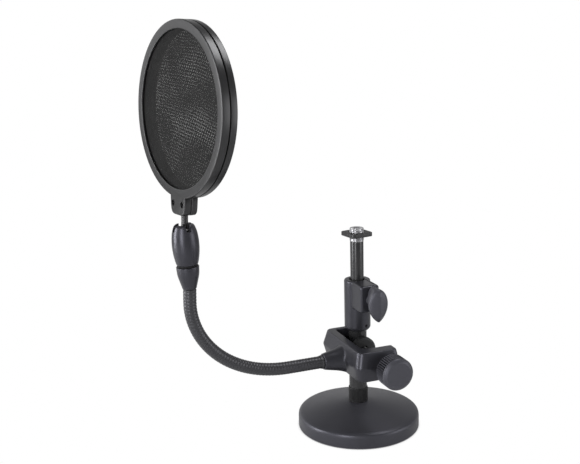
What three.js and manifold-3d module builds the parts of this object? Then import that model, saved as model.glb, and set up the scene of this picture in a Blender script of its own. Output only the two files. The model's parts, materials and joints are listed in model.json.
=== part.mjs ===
// A pop filter on its desk stand, in millimetres with +Z up.
//
// The origin is the middle of the base's underside. The stand's tubes run up the Z axis, the gooseneck
// leaves the clamp towards -Y, and the clamp screw lies along +X.

import * as THREE from 'three';
import { mergeVertices } from 'three/addons/utils/BufferGeometryUtils.js';
import Module from 'manifold-3d';

const wasm = await Module();
wasm.setup();

// ---------------------------------------------------------------- driving dimensions

const GAP = 0.3; // between a piece and the neighbour that it rests on or slides in

const BASE_RADIUS = 68.5;
const BASE_RIM_HEIGHT = 16.5;
const HUB_FLOOR = 28.3; // where the hub ring stands on the base
const PAD_RADIUS = 62;
const PAD_THICKNESS = 2.8;

const OUTER_TUBE_RADIUS = 10;
const OUTER_TUBE_TOP = 140;
const INNER_TUBE_RADIUS = 7.35;
const INNER_TUBE_TOP = 214.4;
const THREAD_RADIUS = 7.9;

const COLLAR_RADIUS = 14.5;
const COLLAR_BOTTOM = 113.5;
const COLLAR_TOP = 171.4;
const BOSS_REACH = 33.2; // the clutch boss, along +X
const BOSS_HALF_WIDTH = 11;
const WING_SCREW_HEIGHT = 156.4;

const CLAMP_HEIGHT = 93.7; // the clamp screw's axis
const CLAMP_DEPTH = 32.6; // the clamp casting, along Z
const CLAMP_RISE = 0.9; // its parting line, above the screw's axis
const CLAMP_DRAFT = 3.8; // how far its outside swells at the parting line
const THROAT_DRAFT = 2.1; // and how far its inside does
const THROAT_BACK = -14.3;
const THROAT_FRONT = 55.7;

const NECK_OFFSET = 26.8; // the neck's plane, along X
const NECK_RADIUS = 6.65;
const NECK_START = -62; // the first bend, along Y
const NECK_LEVEL = -1.6; // the neck's start, from the clamp screw's height
const NECK_LINKS = 8;
const NECK_LENGTH = 196.6;

const BALL_RADIUS = 7;
const HOOP_RADIUS = 84.9;
const SCREEN_OPENING = 76; // a six inch screen
const HOOP_THICKNESS = 16.1;
const HOOP_ABOVE_BALL = 121.8;
const HOOP_TURN = 13.8; // degrees about the stem
const HOOP_TILT = 3.2; // degrees, its face looking up

// ---------------------------------------------------------------- helpers

const radians = THREE.MathUtils.degToRad;

const FINISHES = {
  castIron: { color: 0x3b3b3e, roughness: 0.62, metalness: 0.3 },
  blackTube: { color: 0x303033, roughness: 0.35, metalness: 0.5 },
  castBlack: { color: 0x37373a, roughness: 0.55, metalness: 0.1 },
  mouldedBlack: { color: 0x2e2e30, roughness: 0.5, metalness: 0.0 },
  rubber: { color: 0x161617, roughness: 0.85, metalness: 0.0 },
  nylon: { color: 0xd8d6cf, roughness: 0.5, metalness: 0.0 },
  steel: { color: 0xb9babd, roughness: 0.3, metalness: 1.0 },
  neckBlack: { color: 0x252527, roughness: 0.5, metalness: 0.2 },
  screen: { color: 0x1d1d1f, roughness: 0.9, metalness: 0.0 },
};

// One closed skin with shared corners, its triangles facing out.
function weld(geometry) {
  const bare = geometry.clone();
  for (const name of Object.keys(bare.attributes)) {
    if (name !== 'position') bare.deleteAttribute(name);
  }
  const merged = mergeVertices(bare, 1e-4);
  const old = merged.index.array;
  const triangles = [];
  for (let i = 0; i < old.length; i += 3) {
    const [a, b, c] = [old[i], old[i + 1], old[i + 2]];
    if (a !== b && b !== c && c !== a) triangles.push(a, b, c);
  }
  merged.setIndex(triangles);
  if (signedVolume(merged) < 0) {
    const turned = [];
    for (let i = 0; i < triangles.length; i += 3) {
      turned.push(triangles[i], triangles[i + 2], triangles[i + 1]);
    }
    merged.setIndex(turned);
  }
  return merged;
}

function signedVolume(geometry) {
  const p = geometry.attributes.position;
  const [a, b, c] = [new THREE.Vector3(), new THREE.Vector3(), new THREE.Vector3()];
  let sum = 0;
  for (let i = 0; i < geometry.index.count; i += 3) {
    a.fromBufferAttribute(p, geometry.index.getX(i));
    b.fromBufferAttribute(p, geometry.index.getX(i + 1));
    c.fromBufferAttribute(p, geometry.index.getX(i + 2));
    sum += a.dot(b.cross(c));
  }
  return sum / 6;
}

function toManifold(geometry) {
  const skin = weld(geometry);
  return new wasm.Manifold(new wasm.Mesh({
    numProp: 3,
    vertProperties: new Float32Array(skin.attributes.position.array),
    triVerts: new Uint32Array(skin.index.array),
  }));
}

function fromManifold(manifold) {
  const mesh = manifold.getMesh();
  const geometry = new THREE.BufferGeometry();
  geometry.setAttribute('position', new THREE.BufferAttribute(new Float32Array(mesh.vertProperties), 3));
  geometry.setIndex(new THREE.BufferAttribute(new Uint32Array(mesh.triVerts), 1));
  return geometry;
}

function join(first, ...others) {
  return fromManifold(others.reduce((sum, other) => sum.add(toManifold(other)), toManifold(first)));
}

function cut(first, ...tools) {
  return fromManifold(tools.reduce((rest, tool) => rest.subtract(toManifold(tool)), toManifold(first)));
}

function keep(first, mould) {
  return fromManifold(toManifold(first).intersect(toManifold(mould)));
}

// A profile of [radius, height] points turned about +Z. It closes on itself unless it ends on the axis.
function turned(profile, segments = 24) {
  const points = profile.map(([radius, height]) => new THREE.Vector2(radius, height));
  const onAxis = profile[0][0] === 0 && profile[profile.length - 1][0] === 0;
  if (!onAxis) points.push(points[0].clone());
  return weld(new THREE.LatheGeometry(points, segments).rotateX(Math.PI / 2));
}

function ring(inner, outer, bottom, top, segments = 24) {
  return turned([[inner, bottom], [outer, bottom], [outer, top], [inner, top]], segments);
}

function rod(radius, bottom, top, segments = 20) {
  return turned([[0, bottom], [radius, bottom], [radius, top], [0, top]], segments);
}

// Turns a solid made along +Z so that it lies along another direction.
function along(geometry, direction) {
  const turn = new THREE.Quaternion().setFromUnitVectors(
    new THREE.Vector3(0, 0, 1),
    new THREE.Vector3(...direction).normalize(),
  );
  return geometry.applyQuaternion(turn);
}

// An outline from [x, y, corner radius] corners.
function rounded(corners) {
  const shape = new THREE.Shape();
  const count = corners.length;
  corners.forEach(([x, y, radius], i) => {
    const here = new THREE.Vector2(x, y);
    const before = new THREE.Vector2(...corners[(i + count - 1) % count].slice(0, 2));
    const after = new THREE.Vector2(...corners[(i + 1) % count].slice(0, 2));
    const start = here.clone().add(before.sub(here).setLength(radius));
    const end = here.clone().add(after.sub(here).setLength(radius));
    if (i === 0) shape.moveTo(start.x, start.y);
    else shape.lineTo(start.x, start.y);
    shape.quadraticCurveTo(x, y, end.x, end.y);
  });
  shape.closePath();
  return shape;
}

function slab(shape, bottom, top, curveSegments = 5) {
  const options = { depth: top - bottom, bevelEnabled: false, curveSegments };
  return weld(new THREE.ExtrudeGeometry(shape, options).translate(0, 0, bottom));
}

function box(low, high) {
  const size = high.map((value, i) => value - low[i]);
  const middle = high.map((value, i) => (value + low[i]) / 2);
  return weld(new THREE.BoxGeometry(...size).translate(...middle));
}

// A skin over a row of convex sections, each the same number of points, with flat ends.
function lofted(sections) {
  const points = sections.flat();
  const count = sections[0].length;
  const triangles = [];
  for (let s = 0; s + 1 < sections.length; s += 1) {
    for (let i = 0; i < count; i += 1) {
      const a = s * count + i;
      const b = s * count + ((i + 1) % count);
      triangles.push(a, b, b + count, a, b + count, a + count);
    }
  }
  const last = (sections.length - 1) * count;
  for (let i = 1; i + 1 < count; i += 1) {
    triangles.push(0, i + 1, i);
    triangles.push(last, last + i, last + i + 1);
  }
  const geometry = new THREE.BufferGeometry().setFromPoints(points);
  geometry.setIndex(triangles);
  return weld(geometry);
}

function piece(name, geometry, finish) {
  const material = new THREE.MeshStandardMaterial(FINISHES[finish]);
  const mesh = new THREE.Mesh(weld(geometry), material);
  mesh.geometry.computeVertexNormals();
  mesh.name = name;
  return mesh;
}

// ---------------------------------------------------------------- base and tubes

function baseCasting() {
  const foot = 0.5; // the iron's edge clears the table, and the pad touches it
  const boreRadius = OUTER_TUBE_RADIUS + GAP;
  return turned([
    [boreRadius, 9],
    [boreRadius, HUB_FLOOR],
    [boreRadius + 5.5, HUB_FLOOR - 0.6],
    [BASE_RADIUS - 26, 22.4],
    [BASE_RADIUS - 1.4, BASE_RIM_HEIGHT],
    [BASE_RADIUS, BASE_RIM_HEIGHT - 1.2],
    [BASE_RADIUS, foot + 0.6],
    [BASE_RADIUS - 0.6, foot],
    [PAD_RADIUS + GAP, foot],
    [PAD_RADIUS + GAP, PAD_THICKNESS + GAP],
    [18, PAD_THICKNESS + GAP],
    [18, 9],
  ], 48);
}

function basePad() {
  return rod(PAD_RADIUS, 0, PAD_THICKNESS, 48);
}

function hubRing() {
  const radius = 10.8;
  const inner = OUTER_TUBE_RADIUS + GAP;
  const bottom = HUB_FLOOR + GAP;
  const top = 44.7;
  return turned([
    [inner, bottom],
    [radius - 0.3, bottom],
    [radius, bottom + 0.5],
    [radius, top - 0.5],
    [radius - 0.3, top],
    [inner, top],
  ], 28);
}

function outerTube() {
  return ring(OUTER_TUBE_RADIUS - 1.6, OUTER_TUBE_RADIUS, 10, OUTER_TUBE_TOP, 28);
}

function innerTube() {
  return ring(INNER_TUBE_RADIUS - 1.3, INNER_TUBE_RADIUS, 68, INNER_TUBE_TOP);
}

function tubeGuide() {
  const inner = INNER_TUBE_RADIUS - 1.3 - GAP;
  return turned([
    [inner - 2, 64],
    [OUTER_TUBE_RADIUS - 1.6 - GAP, 64],
    [OUTER_TUBE_RADIUS - 1.6 - GAP, 68 - GAP],
    [inner, 68 - GAP],
    [inner, 76],
    [inner - 2, 76],
  ]);
}

function threadBush() {
  const spigot = INNER_TUBE_RADIUS - 1.3 - GAP;
  const bottom = INNER_TUBE_TOP + GAP;
  const top = 229.2;
  return turned([
    [3.5, bottom - 12],
    [spigot, bottom - 12],
    [spigot, bottom],
    [THREAD_RADIUS, bottom],
    [THREAD_RADIUS, top - 0.8],
    [THREAD_RADIUS - 0.8, top],
    [3.5, top],
  ]);
}

function lockNut() {
  const half = 12.9;
  const corner = 3.4;
  const shape = rounded([
    [-half, -half, corner],
    [half, -half, corner],
    [half, half, corner],
    [-half, half, corner],
  ]);
  const blank = slab(shape, 220.4, 224.9).rotateZ(radians(9));
  return cut(blank, rod(THREAD_RADIUS + GAP, 215, 230, 24));
}

// ---------------------------------------------------------------- height clutch

function clutchCollar() {
  const barrel = turned([
    [0, COLLAR_BOTTOM],
    [COLLAR_RADIUS - 2.4, COLLAR_BOTTOM],
    [COLLAR_RADIUS, COLLAR_BOTTOM + 3],
    [COLLAR_RADIUS, COLLAR_TOP - 1.4],
    [COLLAR_RADIUS - 1.4, COLLAR_TOP],
    [0, COLLAR_TOP],
  ], 32);
  const w = BOSS_HALF_WIDTH;
  const outline = rounded([[0, -w, 3], [BOSS_REACH, -w, 4], [BOSS_REACH, w, 4], [0, w, 3]]);
  const boss = new THREE.ExtrudeGeometry(outline, {
    depth: 25.4,
    bevelThickness: 2.3,
    bevelSize: 2.3,
    bevelOffset: -2.3,
    bevelSegments: 1,
    curveSegments: 3,
  }).translate(0, 0, 143.7);
  const bore = rod(OUTER_TUBE_RADIUS + GAP, COLLAR_BOTTOM - 5, COLLAR_TOP - 2.2, 28);
  const mouth = rod(INNER_TUBE_RADIUS + 0.5, COLLAR_TOP - 4, COLLAR_TOP + 5, 24);
  const wingHole = along(rod(3.4, 0, 50), [1, 0, 0]).translate(0, 0, WING_SCREW_HEIGHT);
  return cut(join(barrel, boss), bore, mouth, wingHole, setScrewHole());
}

const SET_SCREW_TURN = radians(17); // from +X towards +Y
const SET_SCREW_HEIGHT = 120;

function setScrewHole() {
  return along(rod(1.7, 0, 30, 16), [1, 0, 0]).rotateZ(SET_SCREW_TURN).translate(0, 0, SET_SCREW_HEIGHT);
}

function setScrew() {
  const inner = OUTER_TUBE_RADIUS + 0.15;
  const outer = COLLAR_RADIUS - 1.2;
  const body = cut(rod(1.5, inner, outer, 16), new THREE.CylinderGeometry(0.8, 0.8, 3, 6)
    .rotateX(Math.PI / 2).translate(0, 0, outer));
  return along(body, [1, 0, 0]).rotateZ(SET_SCREW_TURN).translate(0, 0, SET_SCREW_HEIGHT);
}

function clutchBush() {
  const sleeve = ring(INNER_TUBE_RADIUS + 0.25, OUTER_TUBE_RADIUS, OUTER_TUBE_TOP + GAP, COLLAR_TOP - 2.5);
  return cut(sleeve, along(rod(3.4, 0, 20), [1, 0, 0]).translate(0, 0, WING_SCREW_HEIGHT));
}

function clutchTip() {
  return along(rod(3, INNER_TUBE_RADIUS + 0.15, 10.4, 20), [1, 0, 0]).translate(0, 0, WING_SCREW_HEIGHT);
}

function wingScrew() {
  return along(rod(3.1, 10.4 + GAP, 46, 20), [1, 0, 0]).translate(0, 0, WING_SCREW_HEIGHT);
}

// A paddle: a narrow web at the boss that swells to a lens, its outer face domed. Its foot comes to a point
// and its head is shorter and blunt.
function wingKnob() {
  const stations = [
    { reach: 35.5, half: 4.6, tall: 18.2 },
    { reach: 40, half: 6.2, tall: 20 },
    { reach: 49.5, half: 10.7, tall: 20.5 },
    { reach: 53.4, half: 11.0, tall: 20.5 },
    { reach: 56.2, half: 8.2, tall: 17 },
    { reach: 57.6, half: 4, tall: 9 },
  ];
  const points = 20;
  const sections = stations.map(({ reach, half, tall }) => Array.from({ length: points }, (_, i) => {
    const angle = (2 * Math.PI * i) / points;
    const head = Math.sin(angle) > 0;
    const across = half * Math.cos(angle) * Math.abs(Math.cos(angle)) ** (head ? 0.1 : 0.6);
    return new THREE.Vector3(reach, across, tall * Math.sin(angle) * (head ? 0.82 : 0.97));
  }));
  const socket = along(rod(3.1 + GAP, 30, 46 + GAP, 20), [1, 0, 0]);
  return cut(join(lofted(sections), along(rod(5.4, BOSS_REACH + GAP, 48, 20), [1, 0, 0])), socket)
    .translate(0, 0, WING_SCREW_HEIGHT);
}

// ---------------------------------------------------------------- clamp, about its screw's height

const SOCKET_TIP = -54.6;

// A block as deep as the clamp. outline(swell) gives its corners, which swell towards the parting line.
function drafted(outline, most) {
  const half = CLAMP_DEPTH / 2;
  const levels = [[-half, 0], [-0.4, most], [0.4, most], [half, 0]];
  return lofted(levels.map(([height, swell]) => rounded(outline(swell)).getPoints(5)
    .map(({ x, y }) => new THREE.Vector3(x, y, height))));
}

// A C casting.
function clampBody() {
  const back = -20.9;
  const front = 69.4;
  const spineOuter = -30.3;
  const spineInner = -20.9;
  const armEnd = 13.4;
  const block = drafted((swell) => [
    [back - swell, armEnd + swell, 2],
    [back - swell, spineOuter - swell, 6.5],
    [front + swell, spineOuter - swell, 7.5],
    [front + swell, armEnd + swell, 2],
  ], CLAMP_DRAFT);
  const throat = drafted((swell) => [
    [THROAT_BACK + swell, 40, 1],
    [THROAT_BACK + swell, spineInner + swell, 4],
    [THROAT_FRONT - swell, spineInner + swell, 9],
    [THROAT_FRONT - swell, 40, 1],
  ], THROAT_DRAFT);
  const high = CLAMP_DEPTH / 2 + 0.8;
  const end = armEnd + 0.6;
  const side = rounded([[-40, -high, 1], [end, -high, 3.5], [end, high, 3.5], [-40, high, 1]]);
  const armEnds = slab(side, -60, 90, 6).applyMatrix4(new THREE.Matrix4().makeBasis(
    new THREE.Vector3(0, 1, 0), new THREE.Vector3(0, 0, 1), new THREE.Vector3(1, 0, 0)));
  const casting = keep(cut(block, throat), armEnds).translate(0, 0, CLAMP_RISE);
  const socket = along(turned([
    [0, 24],
    [16, 24],
    [13.6, 31],
    [11.9, 38],
    [10.4, 46],
    [8.4, -SOCKET_TIP],
    [0, -SOCKET_TIP],
  ], 32), [0, -1, 0]).translate(NECK_OFFSET, 0, NECK_LEVEL);
  const neckBore = along(rod(NECK_RADIUS + GAP, 27, 70, 24), [0, -1, 0])
    .translate(NECK_OFFSET, 0, NECK_LEVEL);
  const screwHole = along(rod(4.6, 40, 90), [1, 0, 0]);
  const grubHole = rod(2.2, -20, -3, 16).translate(NECK_OFFSET, GRUB_PLACE, NECK_LEVEL);
  return cut(join(casting, socket), neckBore, screwHole, grubHole);
}

const GRUB_PLACE = -41;

function neckGrubScrew() {
  const top = -NECK_RADIUS - 0.15;
  const bottom = -9.4;
  const key = new THREE.CylinderGeometry(1, 1, 2, 6).rotateX(Math.PI / 2).translate(0, 0, bottom);
  return cut(rod(2, bottom, top, 16), key).translate(NECK_OFFSET, GRUB_PLACE, NECK_LEVEL);
}

function jawPad() {
  return box([THROAT_BACK + THROAT_DRAFT + GAP, -10, -9], [-OUTER_TUBE_RADIUS - 0.25, 10, 9]);
}

function pressurePad() {
  const face = OUTER_TUBE_RADIUS + 0.25;
  return along(turned([
    [0, face],
    [13.4, face],
    [14, face + 0.8],
    [14, face + 6.6],
    [12.6, face + 7.8],
    [4.9, face + 7.8],
    [4.9, face + 2],
    [0, face + 2],
  ]), [1, 0, 0]);
}

const SCREW_START = OUTER_TUBE_RADIUS + 2.55;
const KNOB_BACK = 79.3;
const KNOB_FACE = 100.4;

function clampScrew() {
  return along(turned([
    [0, SCREW_START],
    [3.6, SCREW_START],
    [4.3, SCREW_START + 0.8],
    [4.3, KNOB_FACE - 7],
    [0, KNOB_FACE - 7],
  ]), [1, 0, 0]);
}

function clampKnob() {
  const radius = 17.3;
  const bore = 4.3 + GAP;
  return along(turned([
    [bore, KNOB_BACK],
    [radius - 1.5, KNOB_BACK],
    [radius, KNOB_BACK + 1.5],
    [radius, KNOB_FACE - 4.6],
    [radius - 0.7, KNOB_FACE - 3],
    [13.5, KNOB_FACE],
    [0, KNOB_FACE],
    [0, KNOB_FACE - 7 + GAP],
    [bore, KNOB_FACE - 7 + GAP],
  ], 36), [1, 0, 0]);
}

function neckCollar() {
  const start = -SOCKET_TIP + GAP;
  return along(turned([
    [NECK_RADIUS + 0.2, start],
    [7.3, start],
    [7.3, start + 1.6],
    [6.95, start + 1.9],
    [6.95, start + 3],
    [NECK_RADIUS + 0.2, start + 3],
  ]), [0, -1, 0]).translate(NECK_OFFSET, 0, NECK_LEVEL);
}

function neckRoot() {
  return along(rod(NECK_RADIUS, 27 + GAP, -NECK_START - LINK_GAP / 2), [0, -1, 0])
    .translate(NECK_OFFSET, 0, NECK_LEVEL);
}

// ---------------------------------------------------------------- gooseneck

const LINK_GAP = 1.2; // room for neighbouring links to bend
const NECK_STRAIGHT = 31.8;
const BEND_START = 0.383; // degrees per millimetre
const BEND_GROWTH = 0.0015; // degrees per millimetre, gained each millimetre
const END_HEADING = 92.2; // degrees above level

function neckHeading(distance) {
  const bent = Math.max(0, distance - NECK_STRAIGHT);
  return radians(Math.min(END_HEADING, BEND_START * bent + BEND_GROWTH * bent * bent));
}

// The neck's middle line, in its own plane: level towards -Y, then rising ever more steeply.
function neckPoint(distance) {
  const steps = 400;
  const step = distance / steps;
  const point = new THREE.Vector3(NECK_OFFSET, NECK_START, CLAMP_HEIGHT + NECK_LEVEL);
  for (let i = 0; i < steps; i += 1) {
    const heading = neckHeading((i + 0.5) * step);
    point.y -= Math.cos(heading) * step;
    point.z += Math.sin(heading) * step;
  }
  return point;
}

class NeckStretch extends THREE.Curve {
  constructor(start, end) {
    super();
    this.start = start;
    this.end = end;
    this.origin = neckPoint(start);
  }

  getPoint(t) {
    const inset = LINK_GAP / 2;
    const distance = THREE.MathUtils.lerp(this.start + inset, this.end - inset, t);
    return neckPoint(distance).sub(this.origin);
  }
}

function neckLink(index) {
  const length = NECK_LENGTH / NECK_LINKS;
  const stretch = new NeckStretch(index * length, (index + 1) * length);
  const outline = new THREE.Shape().absarc(0, 0, NECK_RADIUS, 0, 2 * Math.PI);
  const options = { extrudePath: stretch, steps: 4, curveSegments: 10, bevelEnabled: false };
  const link = piece(`neck_link_${index + 1}`, new THREE.ExtrudeGeometry(outline, options), 'neckBlack');
  link.position.copy(stretch.origin);
  return link;
}

// ---------------------------------------------------------------- ball joint, about the ball's middle

const FERRULE_BOTTOM = -55.5;
const FERRULE_TOP = -32.3;
const HOUSING_BOTTOM = -30.2;
const SLOT_TURN = 9.2; // degrees, where the mouth's slots lie around the joint

function neckFerrule() {
  return turned([
    [0, FERRULE_BOTTOM],
    [6.8, FERRULE_BOTTOM],
    [11.1, -41],
    [11.5, FERRULE_TOP],
    [7.4, FERRULE_TOP],
    [7.4, -18],
    [0, -18],
  ]);
}

function jointRing() {
  return ring(7.4 + GAP, 10.4, FERRULE_TOP + GAP, HOUSING_BOTTOM - GAP);
}

function jointHousing() {
  const top = 10.6;
  const bulge = (height) => 13.55 - 0.0068 * (height + 10.1) ** 2;
  const heights = [-25, -18, -10, -3, 4];
  const shell = turned([
    [7.4 + GAP, HOUSING_BOTTOM],
    [10.5, HOUSING_BOTTOM],
    [10.9, HOUSING_BOTTOM + 0.6],
    ...heights.map((height) => [bulge(height), height]),
    [10.9, 7.6],
    [9.8, 9.7],
    [8.4, top],
    [7.4, top],
    [7.4, 5],
    [9.6, 5],
    [9.6, -17],
    [7.4 + GAP, -17],
  ], 30);
  const slots = [0, 90].map((angle) => box([-2.4, -20, 4.2], [2.4, 20, 20])
    .rotateZ(radians(angle + SLOT_TURN)));
  return cut(shell, ...slots);
}

function ballCup() {
  const cavity = BALL_RADIUS + 0.2;
  const openingHeight = 4;
  const bowl = [];
  const lastAngle = Math.acos(-openingHeight / cavity);
  for (let i = 0; i <= 7; i += 1) {
    const angle = (lastAngle * i) / 7;
    bowl.push([cavity * Math.sin(angle), -cavity * Math.cos(angle)]);
  }
  bowl[0][0] = 0;
  return turned([...bowl, [9.3, openingHeight], [9.3, -16.6], [0, -16.6]]);
}

// ---------------------------------------------------------------- hoop, about the ball's middle

// Depths are counted from the hoop's front face, towards the back.
const FRONT_DEPTH = 8.0;
const REAR_START = 9.5;
const LIP = 2.1;
const SCREEN_SEAT = 80;
const HOOP_SEGMENTS = 60;
const LUG_INNER = 82; // where the lug roots in the ring's wall
const LUG_ROOT_WIDTH = 31;
const LUG_FOOT_WIDTH = 27;
const LUG_DEPTH = 15;
const LUG_SEAM = 8.1;
const LUG_BOTTOM = -101.7;
const LUG_SCREW_OFFSET = 9;
const LUG_SCREW_DROP = -90.5;

// Puts a solid made along +Z by depth so that it faces -Y at the hoop's place.
function faced(geometry) {
  return geometry.rotateX(-Math.PI / 2).translate(0, -HOOP_THICKNESS / 2, HOOP_ABOVE_BALL);
}

function lugBlank(from, to) {
  const root = LUG_ROOT_WIDTH / 2;
  const foot = LUG_FOOT_WIDTH / 2;
  const low = -LUG_BOTTOM;
  const shape = rounded([[-foot, low, 6.2], [foot, low, 6.2], [root, 78, 0.5], [-root, 78, 0.5]]);
  return slab(shape, from, to);
}

function lugPocket() {
  const bore = rod(3.4 + GAP, 97, 120, 20).rotateX(-Math.PI / 2);
  const head = rod(6 + GAP, 94.4, 98, 20).rotateX(-Math.PI / 2);
  return join(bore, head).translate(0, 0, LUG_SEAM - GAP / 2);
}

function lugScrewHoles(radius, from, to) {
  return [-1, 1].map((side) => rod(radius, from, to, 20)
    .translate(side * LUG_SCREW_OFFSET, -LUG_SCREW_DROP, 0));
}

function frontRing() {
  const hoop = turned([
    [SCREEN_OPENING, 0.5],
    [SCREEN_OPENING + 0.5, 0],
    [HOOP_RADIUS - 0.9, 0],
    [HOOP_RADIUS, 0.9],
    [HOOP_RADIUS, FRONT_DEPTH],
    [SCREEN_SEAT, FRONT_DEPTH],
    [SCREEN_SEAT, LIP],
    [SCREEN_OPENING, LIP],
  ], HOOP_SEGMENTS);
  const lug = lugBlank(0, LUG_SEAM - GAP);
  const inside = rod(LUG_INNER, -5, 20, HOOP_SEGMENTS);
  const screwHeads = lugScrewHoles(3.1, -1, 3.5);
  const screwShafts = lugScrewHoles(1.8, -1, 20);
  return faced(cut(join(hoop, cut(lug, inside)), lugPocket(), ...screwHeads, ...screwShafts));
}

function rearRing() {
  const hoop = turned([
    [SCREEN_SEAT, REAR_START],
    [HOOP_RADIUS, REAR_START],
    [HOOP_RADIUS, HOOP_THICKNESS - 0.9],
    [HOOP_RADIUS - 0.9, HOOP_THICKNESS],
    [SCREEN_OPENING + 0.5, HOOP_THICKNESS],
    [SCREEN_OPENING, HOOP_THICKNESS - 0.5],
    [SCREEN_OPENING, HOOP_THICKNESS - LIP],
    [SCREEN_SEAT, HOOP_THICKNESS - LIP],
  ], HOOP_SEGMENTS);
  const lug = cut(lugBlank(LUG_SEAM, LUG_DEPTH), rod(LUG_INNER, -5, 20, HOOP_SEGMENTS));
  const frontRim = rod(HOOP_RADIUS + GAP, 0, REAR_START, HOOP_SEGMENTS);
  const screwThreads = lugScrewHoles(1.8, 0, 12);
  return faced(cut(join(hoop, cut(lug, frontRim)), lugPocket(), ...screwThreads));
}

function spacerRing() {
  const inner = SCREEN_OPENING;
  const seat = SCREEN_SEAT - GAP;
  const start = LIP + 0.9;
  const end = HOOP_THICKNESS - LIP - 0.9;
  const flange = 83;
  return faced(turned([
    [inner, start],
    [seat, start],
    [seat, FRONT_DEPTH + GAP],
    [flange, FRONT_DEPTH + GAP],
    [flange, REAR_START - GAP],
    [seat, REAR_START - GAP],
    [seat, end],
    [inner, end],
  ], HOOP_SEGMENTS));
}

function screenDisc(start) {
  return faced(rod(SCREEN_SEAT - GAP, start, start + 0.5, HOOP_SEGMENTS));
}

function lugScrew(side) {
  const body = turned([
    [0, 1.2],
    [2.8, 1.2],
    [2.8, 3.3],
    [1.5, 3.3],
    [1.5, 11.5],
    [0, 11.5],
  ], 18);
  const slot = box([-0.45, -4, 0.6], [0.45, 4, 2]);
  return faced(cut(body, slot).translate(side * LUG_SCREW_OFFSET, -LUG_SCREW_DROP, 0));
}

function ballStem() {
  const seam = LUG_SEAM - GAP / 2 - HOOP_THICKNESS / 2;
  const neck = 5.6;
  const profile = [[0, -BALL_RADIUS]];
  const lastAngle = Math.PI - Math.asin(3.4 / BALL_RADIUS);
  for (let i = 1; i <= 8; i += 1) {
    const angle = (lastAngle * i) / 8;
    profile.push([BALL_RADIUS * Math.sin(angle), -BALL_RADIUS * Math.cos(angle)]);
  }
  const headBottom = HOOP_ABOVE_BALL - 98 + GAP;
  const headTop = HOOP_ABOVE_BALL - 94.4 - GAP;
  profile.push([3.4, neck + 1], [3.4, headBottom], [6, headBottom], [6, headTop], [0, headTop]);
  return turned(profile, 20).translate(0, seam, 0);
}

// ---------------------------------------------------------------- assembly

const stand = new THREE.Group();
stand.add(
  piece('base_casting', baseCasting(), 'castIron'),
  piece('base_pad', basePad(), 'rubber'),
  piece('hub_ring', hubRing(), 'blackTube'),
  piece('outer_tube', outerTube(), 'blackTube'),
  piece('inner_tube', innerTube(), 'blackTube'),
  piece('tube_guide', tubeGuide(), 'nylon'),
  piece('thread_bush', threadBush(), 'steel'),
  piece('lock_nut', lockNut(), 'mouldedBlack'),
);

const clutch = new THREE.Group();
clutch.add(
  piece('clutch_collar', clutchCollar(), 'castBlack'),
  piece('clutch_bush', clutchBush(), 'nylon'),
  piece('clutch_set_screw', setScrew(), 'steel'),
  piece('clutch_tip', clutchTip(), 'nylon'),
  piece('wing_screw', wingScrew(), 'steel'),
  piece('wing_knob', wingKnob(), 'mouldedBlack'),
);

const clamp = new THREE.Group();
clamp.position.z = CLAMP_HEIGHT;
clamp.add(
  piece('clamp_body', clampBody(), 'castBlack'),
  piece('jaw_pad', jawPad(), 'rubber'),
  piece('pressure_pad', pressurePad(), 'mouldedBlack'),
  piece('clamp_screw', clampScrew(), 'steel'),
  piece('clamp_knob', clampKnob(), 'mouldedBlack'),
  piece('neck_grub_screw', neckGrubScrew(), 'steel'),
  piece('neck_collar', neckCollar(), 'neckBlack'),
  piece('neck_root', neckRoot(), 'neckBlack'),
);

const neck = new THREE.Group();
for (let index = 0; index < NECK_LINKS; index += 1) neck.add(neckLink(index));

const ballJoint = new THREE.Group();
const neckEnd = neckPoint(NECK_LENGTH);
const lean = radians(END_HEADING - 90);
const ballRise = -FERRULE_BOTTOM + GAP;
const alongFerrule = new THREE.Vector3(0, -Math.sin(lean), Math.cos(lean));
ballJoint.position.copy(neckEnd).addScaledVector(alongFerrule, ballRise);
ballJoint.rotation.x = lean;
ballJoint.add(
  piece('neck_ferrule', neckFerrule(), 'castBlack'),
  piece('joint_ring', jointRing(), 'rubber'),
  piece('joint_housing', jointHousing(), 'castBlack'),
  piece('ball_cup', ballCup(), 'mouldedBlack'),
);

const hoop = new THREE.Group();
hoop.position.copy(ballJoint.position);
hoop.rotation.set(-radians(HOOP_TILT), 0, radians(HOOP_TURN), 'ZYX');
const hoopAssembly = new THREE.Group();
hoopAssembly.position.y = -(LUG_SEAM - GAP / 2 - HOOP_THICKNESS / 2);
hoopAssembly.add(
  piece('ball_stem', ballStem(), 'blackTube'),
  piece('front_ring', frontRing(), 'mouldedBlack'),
  piece('rear_ring', rearRing(), 'mouldedBlack'),
  piece('spacer_ring', spacerRing(), 'mouldedBlack'),
  piece('front_screen', screenDisc(LIP + 0.2), 'screen'),
  piece('rear_screen', screenDisc(HOOP_THICKNESS - LIP - 0.7), 'screen'),
  piece('lug_screw_left', lugScrew(-1), 'steel'),
  piece('lug_screw_right', lugScrew(1), 'steel'),
);
hoop.add(hoopAssembly);

const group = new THREE.Group();
group.add(stand, clutch, clamp, neck, ballJoint, hoop);

export default group;
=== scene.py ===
"""Looks for a pop filter on its desk stand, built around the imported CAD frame.

Pieces are drawn in millimetres, each in the local frame of the part it belongs to: the stand, the clamp, the
ball joint or the hoop. put() scales them to metres and sets them in the row frame.
"""

import json
import math

import bmesh
import bpy
from mathutils import Matrix, Vector


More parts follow.
